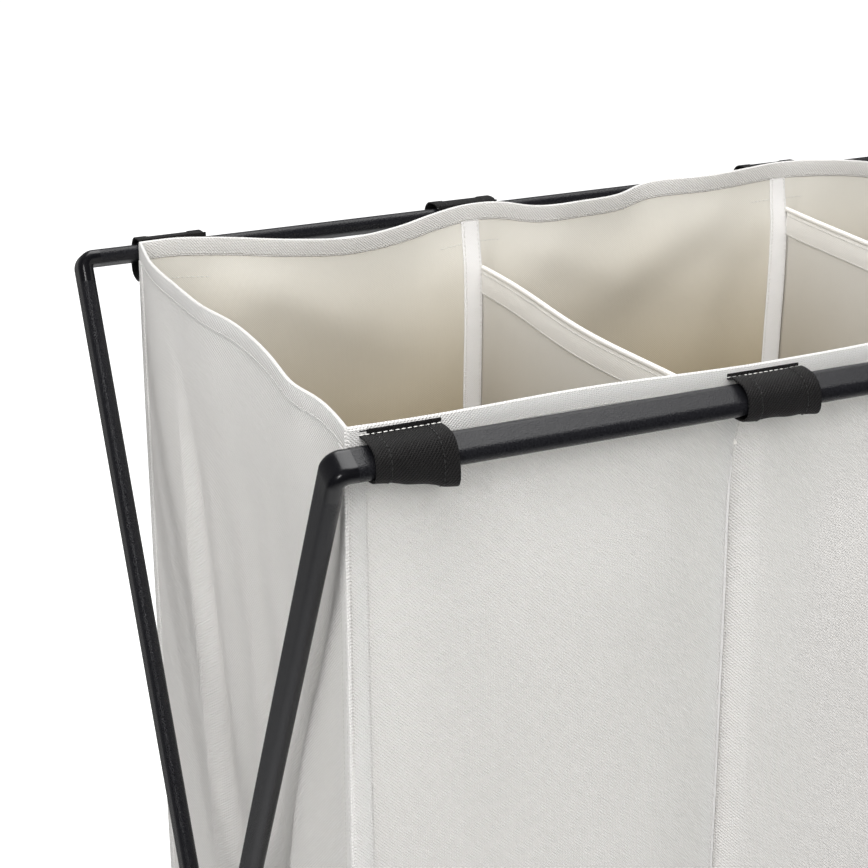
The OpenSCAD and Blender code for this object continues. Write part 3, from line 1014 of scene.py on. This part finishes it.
# %% Tapes and lapped seams
TAPE_W, TAPE_T = 0.013, 0.0012
SEAM_W = 0.0105
FLOOR_SEAM_W = 0.010
for part, side in LONG_SIDES.items():
    lines = []
    for x in DIVIDER_XS:
        u = x + side * SEAM_SHIFT - TAPE_W / 2
        lines.append(trace(part, (u, TOP_Z - HEM), (u, FLOOR_Z), -(CLOTH + TAPE_T) / 2))
    sewn_strip("tapes_" + part, part, lines, TAPE, TAPE_W, TAPE_T)
    corners = [
        trace(part, (x, TOP_Z - 0.001), (x, FLOOR_Z), CLOTH / 2 + 0.0004)
        for x in (XS[0] + SEAM_W / 2, XS[-1] - SEAM_W / 2)
    ]
    sewn_strip("corner_seams_" + part, part, corners, CANVAS, SEAM_W, 0.0019)
for part in ("left_end", "right_end"):
    corners = [
        trace(part, (y, TOP_Z - HEM), (y, FLOOR_Z), CLOTH / 2 + 0.0003)
        for y in (YS[0] + SEAM_W / 2, YS[-1] - SEAM_W / 2)
    ]
    sewn_strip("corner_seams_" + part, part, corners, CANVAS, SEAM_W, 0.0015)
for part in WALLS:
    flat_u = FLAT[part][0]
    height = FLOOR_Z + FLOOR_SEAM_W / 2
    line = trace(part, (flat_u[0], height), (flat_u[-1], height), CLOTH / 2)
    sewn_strip("floor_seam_" + part, part, [line], CANVAS, FLOOR_SEAM_W, 0.0020)
print("sewn strips in all:", sum(len(pieces) for pieces in ON_PIECE.values()))

# %% [markdown]
# ## Carrying loops
# Eight black loops carry the bag. Each is a strip of heavy twill with its long edges turned under. It
# is sewn to the outside of the hem, goes over and round the rail, and is sewn to the panel again below.
# It hangs a little crooked, and loose enough for the rail to turn in it as the frames fold. The
# profile across the rail is a smooth curve through a few points, given as distances outward and up
# from the rail's axis. Each loop has its own place along the rail, height, slack and skew.

# %% Shape of a loop
LOOP_T = 0.0010
LOOP_FOLD = 0.008
FOLD_T = 0.0005
FOLD_EDGE = 0.0008
LOOP_PROFILE = [
    (-0.0110, 0.0135),
    (-0.0110, 0.0106),
    (-0.0086, 0.0099),
    (-0.0020, 0.0098),
    (0.0054, 0.0085),
    (0.0100, 0.0044),
    (0.0115, -0.0012),
    (0.0110, -0.0062),
    (0.0076, -0.0094),
    (0.0000, -0.0106),
    (-0.0090, -0.0094),
    (-0.0119, -0.0096),
    (-0.0119, -0.0136),
]
LOOP_HANG = {
    ("front", "far_left"): {"shift": 0.002, "low": 0.0, "slack": 0.0022, "skew": 0.0095},
    ("front", "left"): {"shift": 0.002, "low": 0.0012, "slack": 0.0002, "skew": 0.0022},
    ("front", "right"): {"shift": 0.001, "low": 0.0008, "slack": 0.0014, "skew": 0.0040},
    ("front", "far_right"): {"shift": -0.001, "low": 0.0, "slack": 0.0022, "skew": -0.0060},
    ("rear", "far_left"): {"shift": 0.0, "low": -0.0028, "slack": 0.0050, "skew": -0.0040},
    ("rear", "left"): {"shift": 0.0, "low": -0.0022, "slack": 0.0005, "skew": 0.0020},
    ("rear", "right"): {"shift": 0.0, "low": -0.0008, "slack": 0.0015, "skew": -0.0030},
    ("rear", "far_right"): {"shift": 0.0, "low": -0.0024, "slack": 0.0025, "skew": 0.0030},
}


def smooth_path(points, per_span):
    """Catmull-Rom curve through points, with per_span steps between each pair."""
    points = np.array(points)
    ends = [2 * points[0] - points[1], *points, 2 * points[-1] - points[-2]]
    path = []
    for a, b, c, d in zip(ends, ends[1:], ends[2:], ends[3:]):
        for t in np.arange(per_span) / per_span:
            bend = 2 * a - 5 * b + 4 * c - d + t * (3 * b - a - 3 * c + d)
            path.append(b + 0.5 * t * (c - a + t * bend))
    return np.array([*path, points[-1]])


def loop_surface(center, rail, side, low, slack, skew):
    """Grid of points of a loop's strip, and its flat cut. side is -1 at the front and 1 at the rear."""
    path = smooth_path(LOOP_PROFILE, 4)
    edge = LOOP_W / 2
    single = edge - LOOP_FOLD
    folds = (-single - FOLD_EDGE, -single, single, single + FOLD_EDGE)
    across = steps(-edge, *folds, edge, count=(4, 1, 12, 1, 4))
    length = np.concatenate([[0], np.cumsum(np.linalg.norm(np.diff(path, axis=0), axis=1))])
    share = length / length[-1]
    loose = ramp(share, 0.25, 0.60) * ramp(-share, -0.98, -0.80)
    sewn_low = 1 - ramp(share, 0.02, 0.12)
    radial = path / np.linalg.norm(path, axis=1, keepdims=True)
    grid = np.zeros((len(across), len(path), 3))
    for i, offset in enumerate(across):
        double = FOLD_T if abs(offset) > single else 0.0
        fold = double * ramp(share, 0.03, 0.12) * ramp(-share, -0.85, -0.75)
        wave = 0.0003 * math.sin(7 * offset / edge + 40 * skew / 0.001)
        drop = loose * (slack + skew * offset / LOOP_W) + wave * loose
        grid[i, :, 0] = center + offset * (1 + 0.02 * loose)
        grid[i, :, 1] = rail.y + side * (path[:, 0] + fold * radial[:, 0])
        grid[i, :, 2] = rail.z + path[:, 1] + fold * radial[:, 1] - drop - low * sewn_low
    return grid, across, length


# %% Loops
RAILS = {"front": FRONT_RAIL, "rear": REAR_RAIL}
SAGS = {"front": FRONT_SAG, "rear": REAR_SAG}
LOOP_PIECES = {}
for (where, name), hang in LOOP_HANG.items():
    side = LONG_SIDES[where]
    center = LOOP_XS[LOOP_NAMES.index(name)] + hang["shift"]
    low = hang["low"] + float(through(SAGS[where], center))
    grid, across, length = loop_surface(center, RAILS[where], side, low, hang["slack"], hang["skew"])
    title = f"{where}_loop_{name}_strip"
    SURFACES[title] = (grid, across, length, (0, side, 0))
    piece = new_piece(title, grid_mesh(title, grid, across, length, (0, side, 0)), LOOP_CLOTH)
    thicken(piece, LOOP_T)
    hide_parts(f"{where}_loop_{name}")
    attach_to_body(piece, LONG_PANELS[where])
    LOOP_PIECES[title] = (piece, where, float(length[-1]))
print("loops:", len(LOOP_PIECES), "of", round(LOOP_W * 1000), "by", round(length[-1] * 1000, 1), "mm")

# %% [markdown]
# ## Stitches
# Rows of stitches hold all of this together. They are gathered first, by the body that they move with
# and by thread, and the stitch tree then sews each group in one go.


# %% Gather the rows
ROWS = {}


def sew(group, thread_name, surface, start, end, lift):
    """Adds a row of stitches, which lies on the cloth's outside if lift is positive."""
    ROWS.setdefault((group, thread_name), []).append(trace(surface, start, end, lift))


def group_of(part):
    """Stitches move with their long panel, or go in a group with what joins the two."""
    if part in DIVIDERS:
        return "dividers"
    return part if part in LONG_PANELS else "ends"


ON_HEM = HEM_T / 2 + 0.0001
ON_CLOTH = CLOTH / 2 + 0.0001
ON_FLOOR_SEAM = CLOTH / 2 + 0.0011
ON_CORNER_SEAM = CLOTH / 2 + 0.0010
ON_BINDING = 0.0012
for part in WALLS:
    flat_u = FLAT[part][0]
    for lift in (ON_HEM, -ON_HEM):
        row = TOP_Z - HEM + 0.0018
        sew(group_of(part), "plain", part, (flat_u[0] + 0.004, row), (flat_u[-1] - 0.004, row), lift)
    row = FLOOR_Z + 0.0085
    sew(group_of(part), "plain", part, (flat_u[0], row), (flat_u[-1], row), ON_FLOOR_SEAM)
    for edge, inward in ((flat_u[0], 1), (flat_u[-1], -1)):
        for inset in (SEAM_W - 0.0015, 0.0030):
            u = edge + inward * inset
            sew(group_of(part), "plain", part, (u, TOP_Z - HEM - 0.001), (u, FLOOR_Z + 0.01), ON_CORNER_SEAM)
for part in ("left_divider", "right_divider"):
    for lift in (ON_BINDING, -ON_BINDING):
        for row in (DIVIDER_Z - BINDING + 0.0016, DIVIDER_Z - 0.0045):
            sew("dividers", "plain", part, (YS[0], row), (YS[-1], row), lift)
print("rows so far:", {key: len(rows) for key, rows in ROWS.items()})

# %% Rows at the dividers and the loops
ON_TAPE = -(CLOTH / 2 + TAPE_T + 0.0001)
ON_LOOP = LOOP_T / 2 + 0.0003
for part, side in LONG_SIDES.items():
    for x in DIVIDER_XS:
        seam = x + side * SEAM_SHIFT
        sew(part, "plain", part, (seam, TOP_Z - HEM), (seam, FLOOR_Z + 0.01), ON_CLOTH)
        for u in (seam - TAPE_W + 0.0015, seam - 0.0015):
            sew(part, "plain", part, (u, TOP_Z - HEM), (u, FLOOR_Z), ON_TAPE)
    for center in LOOP_XS:
        row = RAILS[part].z - 0.0115
        start = (center - LOOP_W / 2 + 0.001, row)
        end = (center + LOOP_W / 2 - 0.001, row)
        sew(part, "plain", part, start, end, -ON_CLOTH)
for title, (piece, where, length) in LOOP_PIECES.items():
    edge = LOOP_W / 2
    for row in (0.0031, length - 0.002):
        sew(where, "white", title, (-edge + 0.001, row), (edge - 0.001, row), ON_LOOP)
    for u in (LOOP_FOLD - edge, edge - LOOP_FOLD):
        sew(where, "black", title, (u, 0.004), (u, length - 0.002), ON_LOOP + 0.0002)
print("rows in all:", {key: len(rows) for key, rows in ROWS.items()})

# %% Sew
THREADS = {"white": WHITE_THREAD, "plain": CLOTH_THREAD, "black": BLACK_THREAD}
STITCH_PIECES = {}
for (group, thread_name), rows in ROWS.items():
    title = f"stitches_{group}_{thread_name}"
    piece = new_piece(title, grow(title, STITCH, rows, THREADS[thread_name], Seed=11 + len(STITCH_PIECES)))
    attach(piece, group)
    STITCH_PIECES[title] = piece
    print(title, len(piece.data.polygons), "faces")

# %% Sheets
print("sheets:", len(PANELS) + len(LOOP_PIECES))

# %% [markdown]
# ## Studio floor
# A pale, matt sweep. To the camera alone it also glows, so that it stays white far behind the object,
# where the lamps don't reach, and yet throws no light up at the bag. From below it is clear, so that
# the underside can be looked at.

# %% The floor and the end
GROUND_GLOW = 0.9
sweep = new_material("pale_sweep", (0.55, 0.55, 0.55), 0.9)
paint = sweep.node_tree
looked_at = add_node(paint, "ShaderNodeLightPath").outputs["Is Camera Ray"]
shader = paint.nodes["Principled BSDF"]
shader.inputs["Emission Color"].default_value = (1, 1, 1, 1)
feed(paint, shader.inputs["Emission Strength"], combine(paint, "MULTIPLY", looked_at, GROUND_GLOW))
from_below = add_node(paint, "ShaderNodeNewGeometry").outputs["Backfacing"]
mix_in(sweep, from_below, add_node(paint, "ShaderNodeBsdfTransparent").outputs[0])
bpy.ops.mesh.primitive_plane_add(size=60)
ground = bpy.context.active_object
ground.name = "ground"
ground.data.materials.append(sweep)
ground.visible_glossy = False
